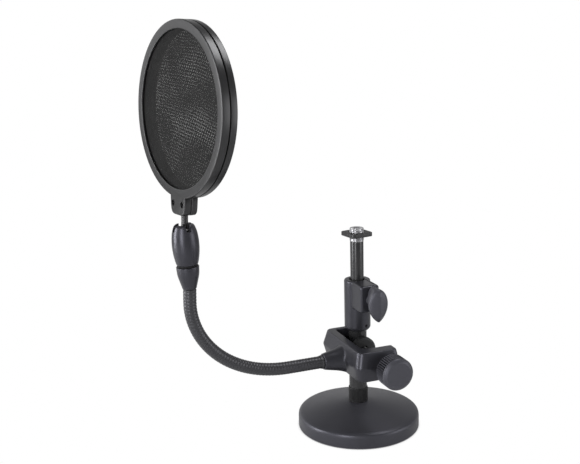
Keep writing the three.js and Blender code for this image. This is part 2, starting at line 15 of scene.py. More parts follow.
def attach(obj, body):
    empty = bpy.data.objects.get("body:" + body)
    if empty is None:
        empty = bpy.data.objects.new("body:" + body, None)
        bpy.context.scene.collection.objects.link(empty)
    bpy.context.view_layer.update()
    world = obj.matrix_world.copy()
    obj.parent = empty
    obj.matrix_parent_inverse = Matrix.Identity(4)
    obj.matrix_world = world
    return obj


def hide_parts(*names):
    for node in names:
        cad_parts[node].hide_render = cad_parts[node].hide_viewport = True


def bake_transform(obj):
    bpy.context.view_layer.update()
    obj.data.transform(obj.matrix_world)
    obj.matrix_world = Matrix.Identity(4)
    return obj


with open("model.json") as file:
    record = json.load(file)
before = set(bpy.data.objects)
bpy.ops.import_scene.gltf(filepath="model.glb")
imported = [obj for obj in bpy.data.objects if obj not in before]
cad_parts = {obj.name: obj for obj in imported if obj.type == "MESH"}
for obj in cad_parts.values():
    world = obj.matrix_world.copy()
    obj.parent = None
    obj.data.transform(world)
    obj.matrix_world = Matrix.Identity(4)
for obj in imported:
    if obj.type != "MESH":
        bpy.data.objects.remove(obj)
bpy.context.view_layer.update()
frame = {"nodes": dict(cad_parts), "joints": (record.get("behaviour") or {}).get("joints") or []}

MM = 0.001  # a millimetre in metres
GAP = 0.3  # clearance between neighbouring pieces, in millimetres

# ---------------------------------------------------------------- dimensions, in millimetres and degrees

BASE_RADIUS = 68.5
BASE_RIM = 16.5
BASE_FOOT = 0.5
BASE_POCKET_TOP = 9
BASE_POCKET_RADIUS = 18
PAD_RADIUS = 62
PAD_THICKNESS = 2.8
HUB_FLOOR = 28.3
HUB_TOP = 44.7
HUB_RADIUS = 10.8
OUTER_TUBE = 10
OUTER_WALL = 1.6
OUTER_FOOT = 10
OUTER_TOP = 140
INNER_TUBE = 7.35
INNER_WALL = 1.3
INNER_FOOT = 68
INNER_TOP = 214.4
THREAD_RADIUS = 7.9
THREAD_PITCH = 0.94
THREAD_BOTTOM = 214.7
THREAD_TOP = 229.2
SPIGOT_BOTTOM = 202.7
NUT_HALF = 12.9
NUT_BOTTOM = 220.4
NUT_TOP = 224.9
NUT_BORE_MOUTH = 9.2
NUT_TURN = 9
COLLAR_RADIUS = 14.5
COLLAR_BOTTOM = 113.5
COLLAR_TOP = 171.4
BOSS_REACH = 33.2
BOSS_HALF_WIDTH = 11
BOSS_BOTTOM = 141.4
SET_SCREW_HEIGHT = 120
SET_SCREW_TURN = 17
WING_HEIGHT = 156.4
WING_SCREW_RADIUS = 3.1
WING_SCREW_END = 46
WING_HUB_RADIUS = 5.4

CLAMP_HALF = 16.3
CLAMP_RISE = 0.9
CLAMP_BACK = -20.9
CLAMP_FRONT = 69.4
CLAMP_DRAFT = 3.8
SPINE_OUTER = -30.3
SPINE_INNER = -20.9
ARM_END = 13.4
THROAT_BACK = -14.3
THROAT_FRONT = 55.7
THROAT_DRAFT = 2.1
SOCKET_ROOT = 24
SOCKET_TIP = 54.6
GRUB_PLACE = -41
PAD_CLEARANCE = 0.25
CLAMP_SCREW_RADIUS = 4.3
CLAMP_SCREW_PITCH = 1.5
KNOB_SOCKET = 7
KNOB_BACK = 79.3
KNOB_FACE = 100.4
KNOB_RADIUS = 17.3

NECK_OFFSET = 26.8
NECK_RADIUS = 6.65
NECK_LEVEL = -1.6
NECK_LENGTH = 196.6
NECK_LINKS = 8
NECK_ROOT = -20.0
NECK_STRAIGHT = 31.8
BEND_START = 0.383
BEND_GROWTH = 0.0015
END_HEADING = 92.2
RIB_PITCH = 3.4
RIB_DEPTH = 0.32
NECK_END_GAP = 0.05

FERRULE_BOTTOM = -55.5
FERRULE_TOP = -32.3
HOUSING_BOTTOM = -30.2
HOUSING_TOP = 10.6
HOUSING_NECK = 7.4
HOUSING_MOUTH = 7.4
HOUSING_CAVITY = 9.6
HOUSING_FLOOR = -17
BULB_RADIUS = 13.55
BULB_WIDEST_AT = -10.1
BULB_CURVE = 0.0068
FERRULE_SPIGOT_TOP = -18
SLOT_TURN = 9.2
SLOT_HALF = 2.4
SLOT_BOTTOM = 4.2
SEAM_TURN = 17
BALL_RADIUS = 7
STEM_RADIUS = 3.4
STEM_HEAD_RADIUS = 6

HOOP_RADIUS = 84.9
OPENING = 76
SCREEN_SEAT = 80
HOOP_THICKNESS = 16.1
HOOP_ABOVE_BALL = 121.8
HOOP_TILT = 3.2
FRONT_DEPTH = 8.0
REAR_START = 9.5
LIP = 2.1
LUG_ROOT_WIDTH = 31
LUG_FOOT_WIDTH = 27
LUG_BOTTOM = 101.7
LUG_SEAM = 8.1
LUG_MIDDLE = LUG_SEAM - GAP / 2
LUG_DEPTH = 15
LUG_SCREW_OFFSET = 9
LUG_SCREW_DROP = 90.5
LUG_SCREW_HEAD_BORE = 3.0
LUG_SCREW_BORE = 1.8
SPACER_RADIUS = 83
SCREEN_ROOM = 0.9
SCREEN_BOW = 0.25
STEM_HEAD_TOP = 94.4
STEM_HEAD_BOTTOM = 98
RING_ROOT = 82

# The camera's place is in metres, its angles are in degrees and its lens is in millimetres.
CAMERA_PLACE = (0.8706, -0.4079, 0.4461)
CAMERA_HEADING = 69.239
CAMERA_PITCH = 12.907
CAMERA_ROLL = -1.5515
CAMERA_LENS = 55.86


# ---------------------------------------------------------------- outlines and profiles

def softened(corners, closed=True, steps=5):
    """Points along an outline of (x, y, corner radius) corners, each corner rounded off."""
    points = []
    count = len(corners)
    for i, (x, y, radius) in enumerate(corners):
        here = Vector((x, y))
        at_end = not closed and i in (0, count - 1)
        if radius == 0 or at_end:
            points.append(here)
            continue
        before = Vector(corners[i - 1][:2]) - here
        after = Vector(corners[(i + 1) % count][:2]) - here
        start = here + before.normalized() * min(radius, before.length * 0.49)
        end = here + after.normalized() * min(radius, after.length * 0.49)
        for step in range(steps + 1):
            t = step / steps
            points.append(start * (1 - t) ** 2 + here * 2 * t * (1 - t) + end * t ** 2)
    return points


def rounded_box(half_x, half_y, radius, inset=0.0):
    """A rectangle with rounded corners about the origin, drawn in by inset."""
    x = half_x - inset
    y = half_y - inset
    corner = max(radius - inset * 0.5, 0.2)
    return softened([(-x, -y, corner), (x, -y, corner), (x, y, corner), (-x, y, corner)])


# ---------------------------------------------------------------- solids

def solid(name, vertices, faces):
    """A closed mesh object from points in millimetres, its faces turned outwards."""
    mesh = bpy.data.meshes.new(name)
    mesh.from_pydata([tuple(v) for v in vertices], [], faces)
    work = bmesh.new()
    work.from_mesh(mesh)
    bmesh.ops.remove_doubles(work, verts=work.verts, dist=1e-5)
    bmesh.ops.recalc_face_normals(work, faces=work.faces)
    work.to_mesh(mesh)
    work.free()
    made = bpy.data.objects.new(name, mesh)
    bpy.context.scene.collection.objects.link(made)
    return made


def turned(name, corners, segments=96, relief=None):
    """A profile of (radius, height, corner radius) corners turned about +Z.

    relief(radius, height, angle) gives how far a point moves outwards. A profile that doesn't start and end
    on the axis closes on itself.
    """
    on_axis = corners[0][0] == 0 and corners[-1][0] == 0
    profile = softened(corners, closed=not on_axis)
    vertices = []
    for radius, height in profile:
        for i in range(segments):
            angle = 2 * math.pi * i / segments
            r = radius
            if relief and radius > 0:
                r += relief(radius, height, angle)
            vertices.append((r * math.cos(angle), r * math.sin(angle), height))
    rows = len(profile)
    faces = []
    for row in range(rows if not on_axis else rows - 1):
        a = row * segments
        b = ((row + 1) % rows) * segments
        for i in range(segments):
            j = (i + 1) % segments
            faces.append((a + i, a + j, b + j, b + i))
    return solid(name, vertices, faces)


def stacked(name, loops):
    """A solid over a row of closed loops of 3-D points, each with the same count, with flat ends."""
    count = len(loops[0])
    vertices = [point for loop in loops for point in loop]
    faces = []
    for level in range(len(loops) - 1):
        a = level * count
        b = a + count
        for i in range(count):
            j = (i + 1) % count
            faces.append((a + i, a + j, b + j, b + i))
    faces.append(tuple(range(count)))
    last = (len(loops) - 1) * count
    faces.append(tuple(range(last, last + count)))
    return solid(name, vertices, faces)


def plate(name, outline, bottom, top, edge=0.6, steps=4):
    """A plate along +Z with rounded edges. outline(inset) gives its loop, drawn in by inset."""
    levels = []
    for step in range(steps + 1):
        turn = math.pi / 2 * step / steps
        levels.append((bottom + edge * (1 - math.sin(turn)), edge * (1 - math.cos(turn))))
    levels = levels[::-1] + [(top - (z - bottom), inset) for z, inset in levels]
    return stacked(name, [[(p.x, p.y, z) for p in outline(inset)] for z, inset in sorted(levels)])


def cylinder(radius, bottom, top, segments=48):
    """A plain cylinder about +Z, mostly used as a cutting tool."""
    return turned("tool", [(0, bottom, 0), (radius, bottom, 0), (radius, top, 0), (0, top, 0)], segments)


def cube(low, high):
    """A plain box between two opposite corners."""
    corners = [(low[0], low[1]), (high[0], low[1]), (high[0], high[1]), (low[0], high[1])]
    return stacked("tool", [[(x, y, z) for x, y in corners] for z in (low[2], high[2])])


def moved(made, matrix):
    """Moves a solid's own points, so that its object stays at the origin."""
    made.data.transform(matrix)
    return made


TO_X = Matrix.Rotation(math.pi / 2, 4, "Y")  # turns +Z to +X
TO_MINUS_Y = Matrix.Rotation(math.pi / 2, 4, "X")  # turns +Z to -Y


def applied(made):
    """Turns a solid's modifiers into its own mesh."""
    graph = bpy.context.evaluated_depsgraph_get()
    mesh = bpy.data.meshes.new_from_object(made.evaluated_get(graph))
    made.modifiers.clear()
    made.data = mesh
    return made


def combined(first, operation, *tools):
    """Boolean work: the first solid's UNION, DIFFERENCE or INTERSECT with each tool in turn."""
    for tool in tools:
        change = first.modifiers.new("change", "BOOLEAN")
        change.operation = operation
        change.solver = "EXACT"
        change.object = tool
        applied(first)
        bpy.data.objects.remove(tool)
    return first


def cast(made, voxel=0.5, rounds=8):
    """Melts a solid's edges and inner corners as a casting's are, by an even remesh and smoothing."""
    remesh = made.modifiers.new("even", "REMESH")
    remesh.mode = "VOXEL"
    remesh.voxel_size = voxel
    soften = made.modifiers.new("soften", "SMOOTH")
    soften.factor = 0.5
    soften.iterations = rounds
    return applied(made)


def threaded(name, radius, pitch, bottom, top, depth):
    """A rod with a helical thread that fades out over the last turn at each end."""
    segments = 48
    rows_per_turn = 8
    rows = int((top - bottom) / pitch * rows_per_turn) + 1
    loops = []
    for row in range(rows + 1):
        height = bottom + (top - bottom) * row / rows
        fade = min(1.0, (height - bottom) / pitch, (top - height) / pitch)
        loop = []
        for i in range(segments):
            angle = 2 * math.pi * i / segments
            phase = (height / pitch - i / segments) % 1.0
            ridge = 1 - abs(2 * phase - 1)
            r = radius - depth + depth * ridge * fade
            loop.append((r * math.cos(angle), r * math.sin(angle), height))
        loops.append(loop)
    return stacked(name, loops)


# ---------------------------------------------------------------- placing

JOINTS = {joint["name"]: joint for joint in frame["joints"]}
BALL = Vector(JOINTS["hoop_swivel"]["pos_m"]) / MM
JOINT_AXIS = Vector(JOINTS["hoop_swivel"]["axis"])
TILT_AXIS = Vector(JOINTS["hoop_tilt"]["axis"])
CLAMP_LEVEL = JOINTS["clamp_swivel"]["pos_m"][2] / MM
LEAN = math.atan2(-JOINT_AXIS.y, JOINT_AXIS.z)
HOOP_TURN = math.atan2(TILT_AXIS.y, TILT_AXIS.x)

AT_STAND = Matrix.Identity(4)
AT_CLAMP = Matrix.Translation((0, 0, CLAMP_LEVEL))
AT_JOINT = Matrix.Translation(BALL) @ Matrix.Rotation(LEAN, 4, "X")
HOOP_SHIFT = HOOP_THICKNESS / 2 - LUG_MIDDLE
AT_HOOP = (
    Matrix.Translation(BALL)
    @ Matrix.Rotation(HOOP_TURN, 4, "Z")
    @ Matrix.Rotation(-math.radians(HOOP_TILT), 4, "X")
    @ Matrix.Translation((0, HOOP_SHIFT, 0))
)
# Hoop pieces are drawn about +Z by depth from the front face; the face looks along -Y.
AT_FACE = (
    AT_HOOP
    @ Matrix.Translation((0, -HOOP_THICKNESS / 2, HOOP_ABOVE_BALL))
    @ Matrix.Rotation(-math.pi / 2, 4, "X")
)


def put(made, name, body, place, material, nodes, sharp=38):
    """Sets a piece in the row frame, gives it its material, ties it to its CAD body and hides the CAD nodes
    it stands for.
    """
    made.name = name
    made.data.name = name
    made.data.transform(Matrix.Scale(MM, 4))
    metres = place.copy()
    metres.translation = place.translation * MM
    made.matrix_world = metres
    made.data.materials.clear()
    made.data.materials.append(material)
    made.data.shade_smooth()
    made.data.set_sharp_from_angle(angle=math.radians(sharp))
    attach(made, body)
    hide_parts(*nodes)


# ---------------------------------------------------------------- materials

class Graph:
    """A small helper for node materials."""

    def __init__(self, name):
        self.material = bpy.data.materials.new(name)
        self.material.use_nodes = True
        self.nodes = self.material.node_tree.nodes
        self.links = self.material.node_tree.links
        self.shader = self.nodes["Principled BSDF"]
        self.place = self.nodes.new("ShaderNodeTexCoord").outputs["Object"]

    def link(self, source, target):
        self.links.new(source, target)

    def stretched(self, x, y, z):
        """The piece's own coordinates, in metres, multiplied along each axis."""
        mapping = self.nodes.new("ShaderNodeMapping")
        mapping.inputs["Scale"].default_value = (x, y, z)
        self.link(self.place, mapping.inputs["Vector"])
        return mapping.outputs["Vector"]

    def noise(self, scale, detail=3.0, source=None):
        node = self.nodes.new("ShaderNodeTexNoise")
        node.inputs["Scale"].default_value = scale
        node.inputs["Detail"].default_value = detail
        self.link(source or self.place, node.inputs["Vector"])
        return node.outputs["Fac"]

    def ramp(self, source, low, high, first=(0, 0, 0, 1), last=(1, 1, 1, 1)):
        node = self.nodes.new("ShaderNodeValToRGB")
        node.color_ramp.elements[0].position = low
        node.color_ramp.elements[1].position = high
        node.color_ramp.elements[0].color = first
        node.color_ramp.elements[1].color = last
        self.link(source, node.inputs["Fac"])
        return node.outputs["Color"]

    def value(self, source, low, high):
        """Maps a source of 0 to 1 on to low to high."""
        node = self.nodes.new("ShaderNodeMapRange")
        node.inputs["To Min"].default_value = low
        node.inputs["To Max"].default_value = high
        self.link(source, node.inputs["Value"])
        return node.outputs["Result"]

    def mix(self, factor, first, second):
        node = self.nodes.new("ShaderNodeMix")
        node.data_type = "RGBA"
        for socket, value in ((node.inputs[0], factor), (node.inputs[6], first), (node.inputs[7], second)):
            if isinstance(value, (tuple, float)):
                socket.default_value = value
            else:
                self.link(value, socket)
        return node.outputs[2]

    def math(self, operation, first, second=0.0):
        node = self.nodes.new("ShaderNodeMath")
        node.operation = operation
        for socket, value in zip(node.inputs, (first, second)):
            if isinstance(value, (int, float)):
                socket.default_value = value
            else:
                self.link(value, socket)
        return node.outputs[0]

    def bump(self, height, strength, distance, below=None):
        node = self.nodes.new("ShaderNodeBump")
        node.inputs["Strength"].default_value = strength
        node.inputs["Distance"].default_value = distance
        self.link(height, node.inputs["Height"])
        if below is not None:
            self.link(below, node.inputs["Normal"])
        return node.outputs["Normal"]


# How much blue a coat has beside its red and green.
FAINT_BLUE = 1.03
COOL = 1.17

# Tones beside a coat's own tone. The last two are painted shade in grooves: the darker tone there, and what
# is left of the shine.
DARK_PATCH = 0.82
LIGHT_PATCH = 1.18
LIGHT_GRAIN = 1.5
WORN_EDGE = 2.6
PAINTED_GROOVE_SHADE = 0.3
SHINE_LEFT_IN_PAINTED_SHADE = 0.2


def shade(level, blue=FAINT_BLUE):
    """A grey in linear light, tinted by how much blue it has."""
    return (level, level, level * blue, 1.0)


def coated(name, level, roughness, grain_mm, grain, wear=0.3, blue=FAINT_BLUE, specular=0.5, streaks=None):
    """A black coat or moulding: uneven tone, a fine surface grain, edges rubbed lighter, and grooves
    darkened and dulled with painted shade.
    """
    g = Graph(name)
    patches = g.noise(55, 4.0)
    fine = g.noise(1000 / grain_mm, 2.0)
    dark_patch = shade(level * DARK_PATCH, blue)
    light_patch = shade(level * LIGHT_PATCH, blue)
    tone = g.mix(g.value(patches, 0.0, 1.0), dark_patch, light_patch)
    tone = g.mix(g.value(fine, 0.0, 0.35), tone, shade(level * LIGHT_GRAIN, blue))
    pointiness = g.nodes.new("ShaderNodeNewGeometry").outputs["Pointiness"]
    worn = g.math("MULTIPLY", g.ramp(pointiness, 0.505, 0.56), wear)
    tone = g.mix(worn, tone, shade(level * WORN_EDGE, blue))
    # Painted shade: hollows, where pointiness is low, get a darker tone.
    clear_of_painted_shade = g.ramp(pointiness, 0.46, 0.495)
    tone = g.mix(clear_of_painted_shade, shade(level * PAINTED_GROOVE_SHADE, blue), tone)
    g.link(tone, g.shader.inputs["Base Color"])
    rough = g.value(g.noise(160, 3.0), roughness - 0.02, roughness + 0.03)
    g.link(rough, g.shader.inputs["Roughness"])
    normal = g.bump(fine, grain, grain_mm * MM * 0.25)
    if streaks:
        lines = g.noise(1, 2.0, g.stretched(*streaks))
        normal = g.bump(lines, 0.12, 0.0001, normal)
    g.link(normal, g.shader.inputs["Normal"])
    # Painted shade: the shine is cut down in the same hollows.
    shine = g.value(clear_of_painted_shade, specular * SHINE_LEFT_IN_PAINTED_SHADE, specular)
    g.link(shine, g.shader.inputs["Specular IOR Level"])
    g.shader.inputs["Specular Tint"].default_value = (1 / blue, 1 / blue, 1.0, 1.0)
    return g.material


def plated(name, level, roughness):
    """Plated steel with fine turning marks around its axis."""
    g = Graph(name)
    rings = g.noise(1, 3.0, g.stretched(60, 60, 6000))
    stain = g.noise(90, 4.0)
    tone = g.mix(g.value(stain, 0.0, 1.0), shade(level * 0.75), shade(level * 1.1))
    g.link(tone, g.shader.inputs["Base Color"])
    g.link(g.value(rings, roughness - 0.08, roughness + 0.14), g.shader.inputs["Roughness"])
    g.link(g.bump(rings, 0.2, 0.00008), g.shader.inputs["Normal"])
    g.shader.inputs["Metallic"].default_value = 1.0
    return g.material


def nylon(name):
    """Natural nylon: cloudy, faintly yellow, with light turning lines and some light through it."""
    g = Graph(name)
    cloud = g.noise(120, 3.0)
    tone = g.mix(g.value(cloud, 0.0, 1.0), (0.62, 0.6, 0.53, 1), (0.78, 0.76, 0.7, 1))
    g.link(tone, g.shader.inputs["Base Color"])
    g.link(g.value(g.noise(500, 2.0), 0.4, 0.6), g.shader.inputs["Roughness"])
    g.link(g.bump(g.noise(1, 2.0, g.stretched(80, 80, 4000)), 0.15, 0.00008), g.shader.inputs["Normal"])
    g.shader.inputs["Subsurface Weight"].default_value = 0.15
    return g.material


def screen_weave(name, pitch_mm, turn_degrees, cover):
    """A stretched nylon net: three families of threads with open gaps, drawn slightly out of true.

    Only the face turned to the viewer is drawn, so that one net's two faces don't hide each other's gaps.
    """
    g = Graph(name)
    drift = g.noise(12, 1.0)
    threads = None
    separate = g.nodes.new("ShaderNodeSeparateXYZ")
    g.link(g.place, separate.inputs["Vector"])
    for family in range(3):
        angle = math.radians(turn_degrees + 60 * family)
        across = g.math("ADD", g.math("MULTIPLY", separate.outputs["X"], math.cos(angle)),
                        g.math("MULTIPLY", separate.outputs["Y"], math.sin(angle)))
        across = g.math("ADD", across, g.math("MULTIPLY", drift, 0.002))
        cycle = g.math("FRACT", g.math("DIVIDE", across, pitch_mm * MM))
        off_centre = g.math("ABSOLUTE", g.math("SUBTRACT", cycle, 0.5))
        height = g.math("SUBTRACT", 1.0, g.math("MULTIPLY", off_centre, 2.0))
        threads = height if threads is None else g.math("MAXIMUM", threads, height)
    soft_edge = 0.1
    solid_part = g.ramp(threads, 1 - cover - soft_edge, 1 - cover + soft_edge)
    facing = g.math("SUBTRACT", 1.0, g.nodes.new("ShaderNodeNewGeometry").outputs["Backfacing"])
    patches = g.noise(40, 3.0)
    tone = g.mix(g.value(patches, 0.0, 1.0), shade(0.002), shade(0.004))
    g.link(tone, g.shader.inputs["Base Color"])
    g.link(g.value(g.noise(300, 2.0), 0.55, 0.8), g.shader.inputs["Roughness"])
    g.link(g.bump(threads, 0.5, 0.0001), g.shader.inputs["Normal"])
    g.link(g.math("MULTIPLY", solid_part, facing), g.shader.inputs["Alpha"])
    g.shader.inputs["Specular IOR Level"].default_value = 0.15
    return g.material


BASE_COAT = coated("base_coat", 0.031, 0.36, 0.5, 0.22, wear=0.25, blue=COOL)
CAST_COAT = coated("cast_coat", 0.019, 0.31, 0.6, 0.08, wear=0.3, blue=COOL)
TUBE_COAT = coated("tube_coat", 0.018, 0.2, 0.4, 0.08, wear=0.15, streaks=(900, 900, 25))
RING_MOULD = coated("ring_mould", 0.013, 0.3, 0.45, 0.05, wear=0.12)
KNOB_MOULD = coated("knob_mould", 0.042, 0.42, 0.4, 0.18, wear=0.25, blue=COOL)
PAD_MOULD = coated("pad_mould", 0.008, 0.55, 0.4, 0.15, wear=0.15)
NUT_MOULD = coated("nut_mould", 0.008, 0.45, 0.4, 0.15, wear=0.25)
INNER_MOULD = coated("inner_mould", 0.01, 0.6, 0.45, 0.2, wear=0.05)
RUBBER = coated("rubber", 0.008, 0.8, 0.7, 0.35, wear=0.1, specular=0.3)
NECK_COAT = coated("neck_coat", 0.026, 0.36, 0.5, 0.12, wear=0.2, blue=1.08)
HUB_COAT = coated("hub_coat", 0.003, 0.5, 0.4, 0.1, wear=0.1)
DARK_STEEL = plated("dark_steel", 0.04, 0.4)
STEEL = plated("steel", 0.62, 0.32)
NYLON = nylon("nylon")
BLACK_NYLON = coated("black_nylon", 0.02, 0.5, 0.5, 0.1, wear=0.05)
NET_PITCH = 0.7  # millimetres between threads
NET_COVER = 0.475  # the threads' share of that pitch, before their edges are softened
FRONT_NET = screen_weave("front_net", NET_PITCH, 7, NET_COVER)
REAR_NET = screen_weave("rear_net", NET_PITCH, 19.5, NET_COVER)


# ---------------------------------------------------------------- base and tubes

def make_base():
    casting = turned("base", [
        (OUTER_TUBE + GAP, BASE_POCKET_TOP, 0.3),
        (OUTER_TUBE + GAP, HUB_FLOOR, 0.4),
        (OUTER_TUBE + GAP + 5.5, HUB_FLOOR - 0.6, 3),
        (BASE_RADIUS - 26, 22.4, 14),
        (BASE_RADIUS - 2.2, BASE_RIM + 0.15, 4),
        (BASE_RADIUS, BASE_RIM - 2.4, 3),
        (BASE_RADIUS, BASE_FOOT, 0.7),
        (PAD_RADIUS + GAP, BASE_FOOT, 0.4),
        (PAD_RADIUS + GAP, PAD_THICKNESS + GAP, 0.4),
        (BASE_POCKET_RADIUS, PAD_THICKNESS + GAP, 0.5),
        (BASE_POCKET_RADIUS, BASE_POCKET_TOP, 1),
    ], 160)
    put(casting, "base_casting_skin", "base", AT_STAND, BASE_COAT, ["base_casting"])

    pad = turned("pad", [
        (0, 0, 0),
        (PAD_RADIUS - 14, 0, 0.3),
        (PAD_RADIUS - 13, 0.5, 0.3),
        (PAD_RADIUS - 11, 0.5, 0.3),
        (PAD_RADIUS - 10, 0, 0.3),
        (PAD_RADIUS, 0, 0.8),
        (PAD_RADIUS, PAD_THICKNESS, 0.4),
        (0, PAD_THICKNESS, 0),
    ], 128)
    put(pad, "base_pad_skin", "base", AT_STAND, RUBBER, ["base_pad"])


def ribs(count, depth, bottom, top, least_radius):
    """A relief of rounded upright ribs between two heights."""
    def relief(radius, height, angle):
        if radius < least_radius or not bottom <= height <= top:
            return 0.0
        return -depth * (0.5 + 0.5 * math.cos(count * angle))
    return relief


def make_hub_ring():
    bottom = HUB_FLOOR + GAP
    ring = turned("hub", [
        (OUTER_TUBE + GAP, bottom, 0.1),
        (HUB_RADIUS, bottom, 0.3),
        (HUB_RADIUS, bottom + 1.2, 0.2),
        (HUB_RADIUS, HUB_TOP - 1.2, 0.2),
        (HUB_RADIUS, HUB_TOP, 0.3),
        (OUTER_TUBE + GAP, HUB_TOP, 0.1),
    ], 384, ribs(48, 0.4, bottom + 1, HUB_TOP - 1, HUB_RADIUS - 0.1))
    put(ring, "hub_ring_skin", "base", AT_STAND, HUB_COAT, ["hub_ring"], sharp=50)


def tube(name, radius, wall, foot, top):
    """An open tube with eased rims."""
    return turned(name, [
        (radius - wall, foot, 0.3),
        (radius, foot, 0.5),
        (radius, top, 0.5),
        (radius - wall, top, 0.3),
    ], 96)


def make_tubes():
    outer = tube("outer", OUTER_TUBE, OUTER_WALL, OUTER_FOOT, OUTER_TOP)
    put(outer, "outer_tube_skin", "base", AT_STAND, TUBE_COAT, ["outer_tube"])
    inner = tube("inner", INNER_TUBE, INNER_WALL, INNER_FOOT, INNER_TOP)
    put(inner, "inner_tube_skin", "inner_tube", AT_STAND, TUBE_COAT, ["inner_tube"])


def make_thread_and_nut():
    bush = threaded("bush", THREAD_RADIUS, THREAD_PITCH, THREAD_BOTTOM, THREAD_TOP, 0.5)
    spigot = cylinder(INNER_TUBE - INNER_WALL - GAP, SPIGOT_BOTTOM, THREAD_BOTTOM + 1.3)
    combined(bush, "UNION", spigot)
    combined(bush, "DIFFERENCE", cylinder(3.5, SPIGOT_BOTTOM - 2.7, THREAD_TOP + 1.8))
    put(bush, "thread_bush_skin", "inner_tube", AT_STAND, STEEL, ["thread_bush"], sharp=30)

    nut = plate("nut", lambda inset: rounded_box(NUT_HALF, NUT_HALF, 3.4, inset), NUT_BOTTOM, NUT_TOP, 0.6)
    moved(nut, Matrix.Rotation(math.radians(NUT_TURN), 4, "Z"))
    bore = turned("tool", [
        (0, NUT_BOTTOM - 1.4, 0),
        (NUT_BORE_MOUTH, NUT_BOTTOM - 1.4, 0),
        (NUT_BORE_MOUTH, NUT_BOTTOM, 0),
        (THREAD_RADIUS + GAP, NUT_BOTTOM + 1, 0),
        (THREAD_RADIUS + GAP, NUT_TOP - 1, 0),
        (NUT_BORE_MOUTH, NUT_TOP, 0),
        (NUT_BORE_MOUTH, NUT_TOP + 1.1, 0),
        (0, NUT_TOP + 1.1, 0),
    ], 64)
    combined(nut, "DIFFERENCE", bore)
    put(nut, "lock_nut_skin", "lock_nut", AT_STAND, NUT_MOULD, ["lock_nut"])


# ---------------------------------------------------------------- height clutch

def make_collar():
    barrel = turned("barrel", [
        (0, COLLAR_BOTTOM, 0),
        (COLLAR_RADIUS - 2.4, COLLAR_BOTTOM, 0.8),
        (COLLAR_RADIUS, COLLAR_BOTTOM + 3, 1),
        (COLLAR_RADIUS, COLLAR_TOP, 2),
        (0, COLLAR_TOP, 0),
    ], 128)

    def boss_outline(inset):
        reach = BOSS_REACH - inset
        half = BOSS_HALF_WIDTH - inset
        return softened([(0, -half, 1), (reach, -half, 3), (reach, half, 3), (0, half, 1)])

    boss = plate("boss", boss_outline, BOSS_BOTTOM, COLLAR_TOP, 2.3, steps=2)
    combined(barrel, "UNION", boss)
    bore = cylinder(OUTER_TUBE + GAP, COLLAR_BOTTOM - 5, COLLAR_TOP - 2.2, 96)
    mouth = cylinder(INNER_TUBE + 1.4, COLLAR_TOP - 4, COLLAR_TOP + 5, 96)
    at_wing = Matrix.Translation((0, 0, WING_HEIGHT)) @ TO_X
    wing_hole = moved(cylinder(WING_SCREW_RADIUS + GAP, 0, 50), at_wing)
    combined(barrel, "DIFFERENCE", bore, mouth, wing_hole)
    cast(barrel, 0.45, 7)
    around = Matrix.Rotation(math.radians(SET_SCREW_TURN), 4, "Z")
    at_set_screw = Matrix.Translation((0, 0, SET_SCREW_HEIGHT)) @ around @ TO_X
    combined(barrel, "DIFFERENCE", moved(cylinder(1.75, 0, 30, 32), at_set_screw))
    slit = cube((0, 6.7, COLLAR_TOP - 6), (BOSS_REACH - 6, 7.8, COLLAR_TOP + 3))
    combined(barrel, "DIFFERENCE", slit)
    put(barrel, "clutch_collar_skin", "base", AT_STAND, CAST_COAT, ["clutch_collar"])


def make_wing():
    """A paddle: a narrow web at the boss swells to a lens, its foot pointed and its head blunt."""
    # Reach from the tube, half width and half height.
    stations = [
        (34.4, 3.9, 16.5),
        (35.5, 4.6, 18.0),
        (38, 5.2, 19.2),
        (42, 6.6, 20),
        (46, 8.8, 20.4),
        (49.5, 10.4, 20.5),
        (52.4, 11.0, 20.5),
        (53.7, 10.7, 20.3),
        (54.9, 8.9, 19.3),
        (56.0, 6.1, 17.4),
        (57.0, 3.0, 14.6),
        (57.6, 0.6, 11.0),
    ]
    points = 72
    loops = []
    for reach, half, tall in stations:
        loop = []
        for i in range(points):
            angle = 2 * math.pi * i / points
            head = math.sin(angle) > 0
            pointed = 0.1 if head else 0.6
            share = 0.82 if head else 0.97
            across = half * math.cos(angle) * abs(math.cos(angle)) ** pointed
            loop.append((reach, across, tall * share * math.sin(angle)))
        loops.append(loop)
    paddle = stacked("paddle", loops)
    smooth = paddle.modifiers.new("smooth", "SUBSURF")
    smooth.levels = 1
    applied(paddle)
    hub = turned("hub", [
        (0, BOSS_REACH + GAP, 0),
        (WING_HUB_RADIUS, BOSS_REACH + GAP, 0.8),
        (WING_HUB_RADIUS, WING_SCREW_END, 0),
        (0, WING_SCREW_END, 0),
    ], 48)
    combined(paddle, "UNION", moved(hub, TO_X))
    bore = cylinder(WING_SCREW_RADIUS + GAP, 30, WING_SCREW_END + GAP)
    combined(paddle, "DIFFERENCE", moved(bore, TO_X))
    place = Matrix.Translation((0, 0, WING_HEIGHT))
    put(paddle, "wing_knob_skin", "wing", place, KNOB_MOULD, ["wing_knob"])


# ---------------------------------------------------------------- clamp

def drafted(outline, most):
    """A block as deep as the clamp. outline(swell) gives its loop; swell is largest at the parting line."""
    levels = [(-CLAMP_HALF, 0), (-0.3, most), (0.3, most), (CLAMP_HALF, 0)]
    return stacked("block", [[(p.x, p.y, z) for p in outline(swell)] for z, swell in levels])


def clamp_outside(swell):
    return softened([
        (CLAMP_BACK - swell, ARM_END + swell, 4),
        (CLAMP_BACK - swell, SPINE_OUTER - swell, 8),
        (CLAMP_FRONT + swell, SPINE_OUTER - swell, 11),
        (CLAMP_FRONT + swell, ARM_END + swell, 5),
    ], steps=8)


def clamp_throat(swell):
    """The jaws' opening. It narrows to the parting line, as the draft runs the other way inside."""
    beyond_arms = 40
    return softened([
        (THROAT_BACK + swell, beyond_arms, 1),
        (THROAT_BACK + swell, SPINE_INNER + swell, 4),
        (THROAT_FRONT - swell, SPINE_INNER + swell, 9),
        (THROAT_FRONT - swell, beyond_arms, 1),
    ])


